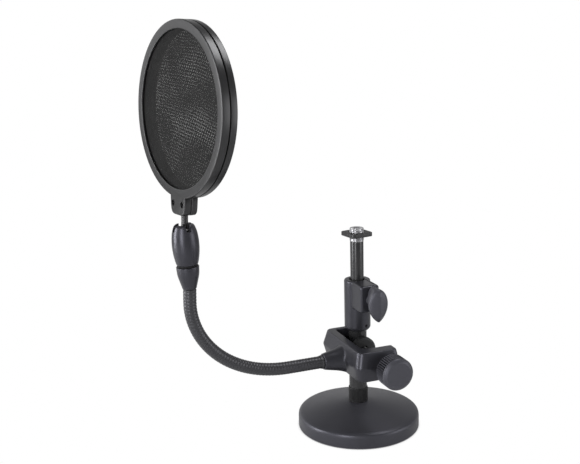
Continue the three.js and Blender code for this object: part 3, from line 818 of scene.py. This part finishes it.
def make_clamp_body():
    """A C casting whose arm ends are rounded off, with a cone that holds the neck."""
    body = drafted(clamp_outside, CLAMP_DRAFT)
    combined(body, "DIFFERENCE", drafted(clamp_throat, THROAT_DRAFT))
    end = ARM_END + 0.6
    high = CLAMP_HALF + 0.8
    side = softened([(-40, -high, 0), (end, -high, 4.5), (end, high, 4.5), (-40, high, 0)], steps=8)
    combined(body, "INTERSECT", stacked("mould", [[(x, p.x, p.y) for p in side] for x in (-60, 90)]))
    moved(body, Matrix.Translation((0, 0, CLAMP_RISE)))
    socket = turned("socket", [
        (0, SOCKET_ROOT, 0),
        (17.5, SOCKET_ROOT, 0),
        (14.2, 31, 4),
        (12.0, 38, 4),
        (10.4, 46, 3),
        (8.6, SOCKET_TIP, 0.8),
        (0, SOCKET_TIP, 0),
    ], 96)
    at_neck = Matrix.Translation((NECK_OFFSET, 0, NECK_LEVEL))
    combined(body, "UNION", moved(socket, at_neck @ TO_MINUS_Y))
    neck_bore = moved(cylinder(NECK_RADIUS + GAP, 27, 70), at_neck @ TO_MINUS_Y)
    screw_bore = moved(cylinder(CLAMP_SCREW_RADIUS + GAP, 40, 90), TO_X)
    combined(body, "DIFFERENCE", neck_bore, screw_bore)
    cast(body, 0.55, 26)
    at_grub = Matrix.Translation((NECK_OFFSET, GRUB_PLACE, NECK_LEVEL))
    grub_hole = moved(cylinder(2.2, -20, -3, 32), at_grub)
    combined(body, "DIFFERENCE", grub_hole)
    put(body, "clamp_body_skin", "clamp", AT_CLAMP, CAST_COAT, ["clamp_body"])


def make_jaw_pad():
    """A small pad with cross grooves in its face, on the back jaw."""
    pad = plate("jaw", lambda inset: rounded_box(10, 9, 1.5, inset), 0, 1.6, 0.5)
    grooves = [cube((-12, y - 0.4, -1), (12, y + 0.4, 0.6)) for y in (-6, -3, 0, 3, 6)]
    combined(pad, "DIFFERENCE", *grooves)
    onto_jaw = Matrix(((0, 0, -1), (1, 0, 0), (0, 1, 0))).to_4x4()
    moved(pad, Matrix.Translation((-OUTER_TUBE - PAD_CLEARANCE, 0, 0)) @ onto_jaw)
    put(pad, "jaw_pad_skin", "clamp", AT_CLAMP, RUBBER, ["jaw_pad"])


def make_clamp_screw():
    """The screw with the round foot at its tip and the knob on its other end."""
    face = OUTER_TUBE + PAD_CLEARANCE
    socket = KNOB_FACE - KNOB_SOCKET
    along_screw = AT_CLAMP @ TO_X
    foot = turned("foot", [
        (0, face, 0),
        (13.4, face, 0.6),
        (14.0, face + 0.8, 0.5),
        (14.0, face + 6.6, 1.2),
        (12.6, face + 7.8, 1),
        (4.9, face + 7.8, 0.3),
        (4.9, face + 2, 0.1),
        (0, face + 2, 0),
    ], 96)
    put(foot, "pressure_pad_skin", "pressure_pad", along_screw, PAD_MOULD, ["pressure_pad"])

    screw = threaded("screw", CLAMP_SCREW_RADIUS, CLAMP_SCREW_PITCH, face + 2 + GAP, socket, 0.7)
    put(screw, "clamp_screw_skin", "clamp_screw", along_screw, DARK_STEEL, ["clamp_screw"],
        sharp=30)

    knob = turned("knob", [
        (CLAMP_SCREW_RADIUS + GAP, KNOB_BACK, 0.2),
        (KNOB_RADIUS - 2.2, KNOB_BACK, 0.6),
        (KNOB_RADIUS, KNOB_BACK + 1.5, 0.6),
        (KNOB_RADIUS, KNOB_BACK + 2.4, 0.1),
        (KNOB_RADIUS, KNOB_FACE - 4.6, 0.1),
        (KNOB_RADIUS, KNOB_FACE - 3.4, 0.8),
        (KNOB_RADIUS - 1.0, KNOB_FACE - 2.0, 1.0),
        (13.5, KNOB_FACE, 0.9),
        (0, KNOB_FACE, 0),
        (0, socket + GAP, 0),
        (CLAMP_SCREW_RADIUS + GAP, socket + GAP, 0.2),
    ], 440, ribs(44, 2.2, KNOB_BACK + 1.2, KNOB_FACE - 4.0, KNOB_RADIUS - 0.4))
    put(knob, "clamp_knob_skin", "clamp_screw", along_screw, KNOB_MOULD, ["clamp_knob"],
        sharp=50)


def make_neck_collar():
    """A small stepped ring around the neck where it leaves the clamp's cone."""
    start = SOCKET_TIP + GAP
    bore = NECK_RADIUS + 0.2
    wide = NECK_RADIUS + 0.75
    narrow = NECK_RADIUS + 0.3
    ring = turned("ring", [
        (bore, start, 0.1),
        (wide, start, 0.4),
        (wide, start + 1.6, 0.4),
        (narrow, start + 1.9, 0.1),
        (narrow, start + 3, 0.3),
        (bore, start + 3, 0.1),
    ], 72)
    place = AT_CLAMP @ Matrix.Translation((NECK_OFFSET, 0, NECK_LEVEL)) @ TO_MINUS_Y
    put(ring, "neck_collar_skin", "clamp", place, NECK_COAT, ["neck_collar"])


# ---------------------------------------------------------------- gooseneck

def neck_heading(distance):
    """How far the neck has turned up from level at a distance along it, in radians."""
    bent = max(0.0, distance - NECK_STRAIGHT)
    return math.radians(min(END_HEADING, BEND_START * bent + BEND_GROWTH * bent * bent))


def neck_line(start, end, step):
    """(distance, point, heading) about every step along the neck's middle line, in millimetres."""
    place = Vector(JOINTS["neck_bend_1"]["pos_m"]) / MM
    fine = 0.25
    distance = 0.0
    if start < 0:
        place.y -= start
        distance = start
    line = []
    want = start
    while distance <= end + fine / 2:
        if distance >= want - fine / 2:
            line.append((distance, place.copy(), neck_heading(distance)))
            want += step
        heading = neck_heading(distance + fine / 2)
        place.y -= math.cos(heading) * fine
        place.z += math.sin(heading) * fine
        distance += fine
    return line


def rib_relief(distance, angle):
    """The wound cover's rounded turns, a shallow helix."""
    phase = (distance / RIB_PITCH + angle / (2 * math.pi)) % 1.0
    return -RIB_DEPTH * (abs(2 * phase - 1) ** 3)


def neck_sleeve(name, start, end):
    """One stretch of the ribbed neck, closed at both ends."""
    around = 48
    loops = []
    for distance, place, heading in neck_line(start, end, 0.5):
        up = Vector((0, math.sin(heading), math.cos(heading)))
        side = Vector((1, 0, 0))
        loop = []
        for i in range(around):
            angle = 2 * math.pi * i / around
            r = NECK_RADIUS + 0.05 + rib_relief(distance, angle)
            loop.append(place + side * (r * math.cos(angle)) + up * (r * math.sin(angle)))
        loops.append(loop)
    return stacked(name, loops)


def make_neck():
    """Each sleeve bends over one hinge and meets the next in the middle of a link."""
    link = NECK_LENGTH / NECK_LINKS
    for index in range(NECK_LINKS):
        start = link * (index - 0.5) if index else NECK_ROOT
        end = link * (index + 0.5) if index < NECK_LINKS - 1 else NECK_LENGTH - NECK_END_GAP
        name = f"neck_sleeve_{index + 1}"
        sleeve = neck_sleeve(name, start, end)
        sleeve.data.transform(Matrix.Scale(MM, 4))
        sleeve.data.materials.append(NECK_COAT)
        sleeve.data.shade_smooth()
        sleeve.data.set_sharp_from_angle(angle=math.radians(60))
        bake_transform(sleeve)
        replaced = [f"neck_link_{index + 1}"]
        if index == 0:
            replaced.append("neck_root")
        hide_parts(*replaced)


# ---------------------------------------------------------------- ball joint

def make_ferrule():
    """The taper at the neck's end with the spigot that the housing turns on, and the thin ring between."""
    ferrule = turned("ferrule", [
        (0, FERRULE_BOTTOM, 0),
        (7.0, FERRULE_BOTTOM, 0.6),
        (11.0, -41, 3),
        (11.5, FERRULE_TOP, 0.6),
        (HOUSING_NECK, FERRULE_TOP, 0.3),
        (HOUSING_NECK, FERRULE_SPIGOT_TOP, 0.5),
        (0, FERRULE_SPIGOT_TOP, 0),
    ], 96)
    put(ferrule, "neck_ferrule_skin", "neck_8", AT_JOINT, CAST_COAT, ["neck_ferrule"])
    ring = turned("ring", [
        (HOUSING_NECK + GAP, FERRULE_TOP + GAP, 0.2),
        (10.4, FERRULE_TOP + GAP, 0.5),
        (10.4, HOUSING_BOTTOM - GAP, 0.5),
        (HOUSING_NECK + GAP, HOUSING_BOTTOM - GAP, 0.2),
    ], 96)
    put(ring, "joint_ring_skin", "neck_8", AT_JOINT, RUBBER, ["joint_ring"])


def make_housing():
    """The bulb around the ball: four slots part its mouth, and a fine seam runs down one side."""
    def bulge(height):
        return BULB_RADIUS - BULB_CURVE * (height - BULB_WIDEST_AT) ** 2

    inside = HOUSING_NECK + GAP
    shell = [(inside, HOUSING_BOTTOM, 0.2), (10.5, HOUSING_BOTTOM, 0.3), (10.9, HOUSING_BOTTOM + 0.6, 0.5)]
    heights = [-27.5 + 2.5 * i for i in range(13)]
    shell += [(bulge(height), height, 0.9) for height in heights]
    shell += [(10.9, 7.6, 1.6), (9.8, 9.7, 1.2), (8.4, HOUSING_TOP, 0.5), (HOUSING_MOUTH, HOUSING_TOP, 0.4)]
    shell += [(HOUSING_MOUTH, 5, 0.2), (HOUSING_CAVITY, 5, 0.2)]
    shell += [(HOUSING_CAVITY, HOUSING_FLOOR, 0.2), (inside, HOUSING_FLOOR, 0.2)]
    housing = turned("housing", shell, 144)
    for quarter in (0, 90):
        slot_turn = Matrix.Rotation(math.radians(SLOT_TURN + quarter), 4, "Z")
        slot = cube((-SLOT_HALF, -20, SLOT_BOTTOM), (SLOT_HALF, 20, 20))
        combined(housing, "DIFFERENCE", moved(slot, slot_turn))
    seam = cube((11.6, -0.17, HOUSING_BOTTOM + 1), (18.6, 0.17, -12))
    combined(housing, "DIFFERENCE", moved(seam, Matrix.Rotation(math.radians(SEAM_TURN), 4, "Z")))
    put(housing, "joint_housing_skin", "joint_nut", AT_JOINT, CAST_COAT, ["joint_housing"],
        sharp=32)


def make_stem():
    """The ball, its stem and the head that the lug's two halves hold."""
    head_bottom = HOOP_ABOVE_BALL - STEM_HEAD_BOTTOM + GAP
    head_top = HOOP_ABOVE_BALL - STEM_HEAD_TOP - GAP
    ball = []
    steps = 16
    last = math.pi - math.asin(STEM_RADIUS / BALL_RADIUS)
    for step in range(1, steps + 1):
        angle = last * step / steps
        ball.append((BALL_RADIUS * math.sin(angle), -BALL_RADIUS * math.cos(angle), 0))
    stem = turned("stem", [(0, -BALL_RADIUS, 0)] + ball + [
        (STEM_RADIUS, 7.5, 0.6),
        (STEM_RADIUS, head_bottom, 0.4),
        (STEM_HEAD_RADIUS, head_bottom, 0.3),
        (STEM_HEAD_RADIUS, head_top, 0.5),
        (0, head_top, 0),
    ], 64)
    place = AT_HOOP @ Matrix.Translation((0, LUG_MIDDLE - HOOP_THICKNESS / 2, 0))
    put(stem, "ball_stem_skin", "hoop", place, TUBE_COAT, ["ball_stem"])


# ---------------------------------------------------------------- hoop

def lug_outline(inset):
    """The lug, hanging down from the ring. Down is +Y here, as the face looks along -Y when it is placed."""
    root = LUG_ROOT_WIDTH / 2 - inset
    foot = LUG_FOOT_WIDTH / 2 - inset
    bottom = LUG_BOTTOM - inset
    return softened([(-root, 78, 0.3), (root, 78, 0.3), (foot, bottom, 7), (-foot, bottom, 7)], steps=8)


def lug_tools():
    """Tools for the stem's bore and for the pocket that holds its head."""
    along_stem = Matrix.Translation((0, 0, LUG_MIDDLE)) @ Matrix.Rotation(-math.pi / 2, 4, "X")
    bore = moved(cylinder(STEM_RADIUS + GAP, 96, 120), along_stem)
    head = moved(cylinder(STEM_HEAD_RADIUS + GAP, STEM_HEAD_TOP - 0.2, STEM_HEAD_BOTTOM + 0.1), along_stem)
    return bore, head


def at_lug_screw(side):
    return Matrix.Translation((side * LUG_SCREW_OFFSET, LUG_SCREW_DROP, 0))


def screw_holes(radius, bottom, top):
    return [moved(cylinder(radius, bottom, top), at_lug_screw(side)) for side in (-1, 1)]


def make_front_ring():
    ring = turned("front", [
        (OPENING, 0, 0.7),
        (HOOP_RADIUS, 0, 1.1),
        (HOOP_RADIUS, FRONT_DEPTH, 0.35),
        (SCREEN_SEAT, FRONT_DEPTH, 0.3),
        (SCREEN_SEAT, LIP, 0.2),
        (OPENING, LIP, 0.6),
    ], 240)
    lug = plate("lug", lug_outline, 0.04, LUG_SEAM - GAP, 1.3)
    combined(lug, "DIFFERENCE", cylinder(RING_ROOT, -5, 20, 160))
    combined(ring, "UNION", lug)
    head_holes = screw_holes(LUG_SCREW_HEAD_BORE, -1, 3.5)
    combined(ring, "DIFFERENCE", *lug_tools(), *head_holes, *screw_holes(LUG_SCREW_BORE, -1, 20))
    put(ring, "front_ring_skin", "hoop", AT_FACE, RING_MOULD, ["front_ring"], sharp=30)


def make_rear_ring():
    back = HOOP_THICKNESS
    ring = turned("rear", [
        (SCREEN_SEAT, REAR_START, 0.3),
        (HOOP_RADIUS, REAR_START, 0.35),
        (HOOP_RADIUS, back, 1.1),
        (OPENING, back, 0.7),
        (OPENING, back - LIP, 0.6),
        (SCREEN_SEAT, back - LIP, 0.2),
    ], 240)
    lug = plate("lug", lug_outline, LUG_SEAM, LUG_DEPTH, 1.3)
    behind = cylinder(RING_ROOT, -5, 20, 160)
    beside_front = cylinder(HOOP_RADIUS + GAP, 0, REAR_START, 160)
    combined(lug, "DIFFERENCE", behind, beside_front)
    combined(ring, "UNION", lug)
    combined(ring, "DIFFERENCE", *lug_tools(), *screw_holes(LUG_SCREW_BORE, 0, 12))
    put(ring, "rear_ring_skin", "hoop", AT_FACE, RING_MOULD, ["rear_ring"], sharp=30)


def make_spacer():
    """The ring between the screens: its edge is the groove outside, its bore the dark wall inside."""
    seat = SCREEN_SEAT - GAP
    front = LIP + SCREEN_ROOM
    back = HOOP_THICKNESS - LIP - SCREEN_ROOM
    ring = turned("spacer", [
        (OPENING, front, 0.5),
        (seat, front, 0.2),
        (seat, FRONT_DEPTH + GAP, 0.1),
        (SPACER_RADIUS, FRONT_DEPTH + GAP, 0.1),
        (SPACER_RADIUS, REAR_START - GAP, 0.1),
        (seat, REAR_START - GAP, 0.1),
        (seat, back, 0.2),
        (OPENING, back, 0.5),
    ], 240)
    put(ring, "spacer_ring_skin", "hoop", AT_FACE, INNER_MOULD, ["spacer_ring"])


def make_screen(name, node, start, material, bow):
    """A thin sheet drawn tight over its rim, a hair out of flat, with a thicker hem under the lip."""
    edge = SCREEN_SEAT - GAP
    hem_start = edge - 1.5
    hem_back = start + 0.5
    near = start + 0.1
    far = start + 0.4
    rows = 10
    front_face = [(0, near + bow, 0)]
    back_face = [(0, far + bow, 0)]
    for row in range(1, rows + 1):
        radius = (OPENING + 1) * row / rows
        sag = bow * (1 - (row / rows) ** 2)
        front_face.append((radius, near + sag, 0))
        back_face.append((radius, far + sag, 0))
    hem = [(hem_start, start, 0.1), (edge, start, 0.1), (edge, hem_back, 0.1), (hem_start, hem_back, 0.1)]
    sheet = turned(name, front_face + hem + back_face[::-1], 160)
    put(sheet, name, "hoop", AT_FACE, material, [node], sharp=60)


def make_lug_screws():
    """Two recessed screws, each with a cross slot."""
    for side, label in ((-1, "left"), (1, "right")):
        screw = turned("screw", [
            (0, 1.2, 0),
            (2.8, 1.2, 0.7),
            (2.8, 3.3, 0.1),
            (1.5, 3.3, 0.1),
            (1.5, 11.5, 0.4),
            (0, 11.5, 0),
        ], 48)
        for turn in (35, 125):
            slot = cube((-0.45, -2.0, 0.5), (0.45, 2.0, 2.4))
            combined(screw, "DIFFERENCE", moved(slot, Matrix.Rotation(math.radians(turn), 4, "Z")))
        node = f"lug_screw_{label}"
        put(screw, f"{node}_skin", "hoop", AT_FACE @ at_lug_screw(side), DARK_STEEL, [node])


# ---------------------------------------------------------------- small CAD pieces that keep their shape

KEPT = {
    "tube_guide": NYLON,
    "clutch_bush": NYLON,
    "clutch_tip": NYLON,
    "ball_cup": BLACK_NYLON,
    "clutch_set_screw": DARK_STEEL,
    "wing_screw": STEEL,
    "neck_grub_screw": DARK_STEEL,
}


def dress_kept_nodes():
    """Gives the CAD pieces that stay visible their materials."""
    for name, material in KEPT.items():
        node = frame["nodes"][name]
        for material_slot in node.material_slots:
            material_slot.material = material


# ---------------------------------------------------------------- stage, in metres

def make_floor():
    """A plain pale floor. The camera sees it as glowing white paper with a painted contact shadow that
    darkens it only close to the stand's edge.
    """
    mesh = bpy.data.meshes.new("floor")
    half = 6.0
    corners = [(-half, -half, 0), (half, -half, 0), (half, half, 0), (-half, half, 0)]
    mesh.from_pydata(corners, [], [(0, 1, 2, 3)])
    floor = bpy.data.objects.new("floor", mesh)
    bpy.context.scene.collection.objects.link(floor)
    g = Graph("floor_paint")
    pale = g.ramp(g.noise(3, 2.0), 0.3, 0.7, (0.7, 0.7, 0.7, 1), (0.74, 0.74, 0.74, 1))
    g.link(pale, g.shader.inputs["Base Color"])
    g.shader.inputs["Roughness"].default_value = 0.8
    # Painted shadow: ambient occlusion darkens the glowing paper where it nears the stand.
    painted_contact_shadow = g.nodes.new("ShaderNodeAmbientOcclusion")
    painted_contact_shadow.inputs["Distance"].default_value = 0.006
    painted_contact_shadow.samples = 8
    paper = g.nodes.new("ShaderNodeEmission")
    white = g.ramp(painted_contact_shadow.outputs["AO"], 0.25, 0.65, (0.2, 0.2, 0.21, 1), (1, 1, 1, 1))
    g.link(white, paper.inputs["Color"])
    seen = g.nodes.new("ShaderNodeLightPath").outputs["Is Camera Ray"]
    both = g.nodes.new("ShaderNodeMixShader")
    g.link(seen, both.inputs[0])
    g.link(g.shader.outputs[0], both.inputs[1])
    g.link(paper.outputs[0], both.inputs[2])
    g.link(both.outputs[0], g.nodes["Material Output"].inputs["Surface"])
    mesh.materials.append(g.material)


def area_light(name, place, aim, width, height, power):
    """A soft rectangular light that the camera itself doesn't see. Its power is in watts."""
    data = bpy.data.lights.new(name, "AREA")
    data.shape = "RECTANGLE"
    data.size = width
    data.size_y = height
    data.energy = power
    lamp = bpy.data.objects.new(name, data)
    bpy.context.scene.collection.objects.link(lamp)
    lamp.location = place
    lamp.rotation_euler = (Vector(aim) - Vector(place)).to_track_quat("-Z", "Y").to_euler()
    lamp.visible_camera = False


BRIGHTEST_SIDE = (-0.8, -0.6, 0.0)
HOOP_AIM = (0.03, -0.2, 0.35)
STAND_AIM = (0.02, -0.05, 0.15)


class WorldGraph(Graph):
    """The same helpers for the world's nodes, where a place is a direction."""

    def __init__(self, world):
        self.nodes = world.node_tree.nodes
        self.links = world.node_tree.links
        self.place = self.nodes.new("ShaderNodeTexCoord").outputs["Generated"]


def make_lights():
    """A white backdrop for the camera, a grey glow brightest at the back left, and four soft lights."""
    world = bpy.data.worlds.new("studio")
    bpy.context.scene.world = world
    world.use_nodes = True
    g = WorldGraph(world)
    toward = g.nodes.new("ShaderNodeVectorMath")
    toward.operation = "DOT_PRODUCT"
    toward.inputs[1].default_value = BRIGHTEST_SIDE
    g.link(g.place, toward.inputs[0])
    facing = g.math("MULTIPLY", g.math("ADD", toward.outputs["Value"], 1.0), 0.5)
    side = g.value(g.math("POWER", facing, 3.0), 0.38, 0.97)
    apart = g.nodes.new("ShaderNodeSeparateXYZ")
    g.link(g.place, apart.inputs["Vector"])
    height = g.ramp(apart.outputs["Z"], 0.3, 0.62, (1, 1, 1, 1), (0.35, 0.35, 0.35, 1))
    glow = g.math("MULTIPLY", side, height)
    seen = g.nodes.new("ShaderNodeLightPath").outputs["Is Camera Ray"]
    strength = g.math("MAXIMUM", glow, seen)
    backdrop = g.nodes["Background"]
    backdrop.inputs["Color"].default_value = (1, 1, 1, 1)
    g.link(strength, backdrop.inputs["Strength"])
    area_light("left_softbox", (-0.3, -1.2, 0.3), STAND_AIM, 0.36, 0.9, 12.0)
    area_light("left_strip", (0.82, -0.94, 0.45), STAND_AIM, 0.36, 1.0, 9.0)
    area_light("right_softbox", (0.76, 0.9, 0.3), STAND_AIM, 0.7, 0.7, 4.5)
    area_light("overhead_softbox", (0.02, 0.38, 1.24), HOOP_AIM, 0.5, 0.4, 5.0)


def make_camera():
    """About a metre away, a little above the hoop's middle and looking down at the stand."""
    data = bpy.data.cameras.new("camera")
    data.lens = CAMERA_LENS
    data.sensor_width = 36
    data.clip_start = 0.01
    camera = bpy.data.objects.new("camera", data)
    bpy.context.scene.collection.objects.link(camera)
    heading = math.radians(CAMERA_HEADING)
    pitch = math.radians(CAMERA_PITCH)
    roll = math.radians(CAMERA_ROLL)
    camera.matrix_world = (
        Matrix.Translation(CAMERA_PLACE)
        @ Matrix.Rotation(heading, 4, "Z")
        @ Matrix.Rotation(math.pi / 2 - pitch, 4, "X")
        @ Matrix.Rotation(roll, 4, "Z")
    )
    bpy.context.scene.camera = camera


# ---------------------------------------------------------------- build

make_base()
make_hub_ring()
make_tubes()
make_thread_and_nut()
make_collar()
make_wing()
make_clamp_body()
make_jaw_pad()
make_clamp_screw()
make_neck_collar()
make_neck()
make_ferrule()
make_housing()
make_stem()
make_front_ring()
make_rear_ring()
make_spacer()
make_screen("front_screen_sheet", "front_screen", LIP + 0.2, FRONT_NET, SCREEN_BOW)
make_screen("rear_screen_sheet", "rear_screen", HOOP_THICKNESS - LIP - 0.7, REAR_NET, -SCREEN_BOW)
make_lug_screws()
dress_kept_nodes()
make_floor()
make_lights()
make_camera()
bpy.context.scene.view_settings.view_transform = "Standard"
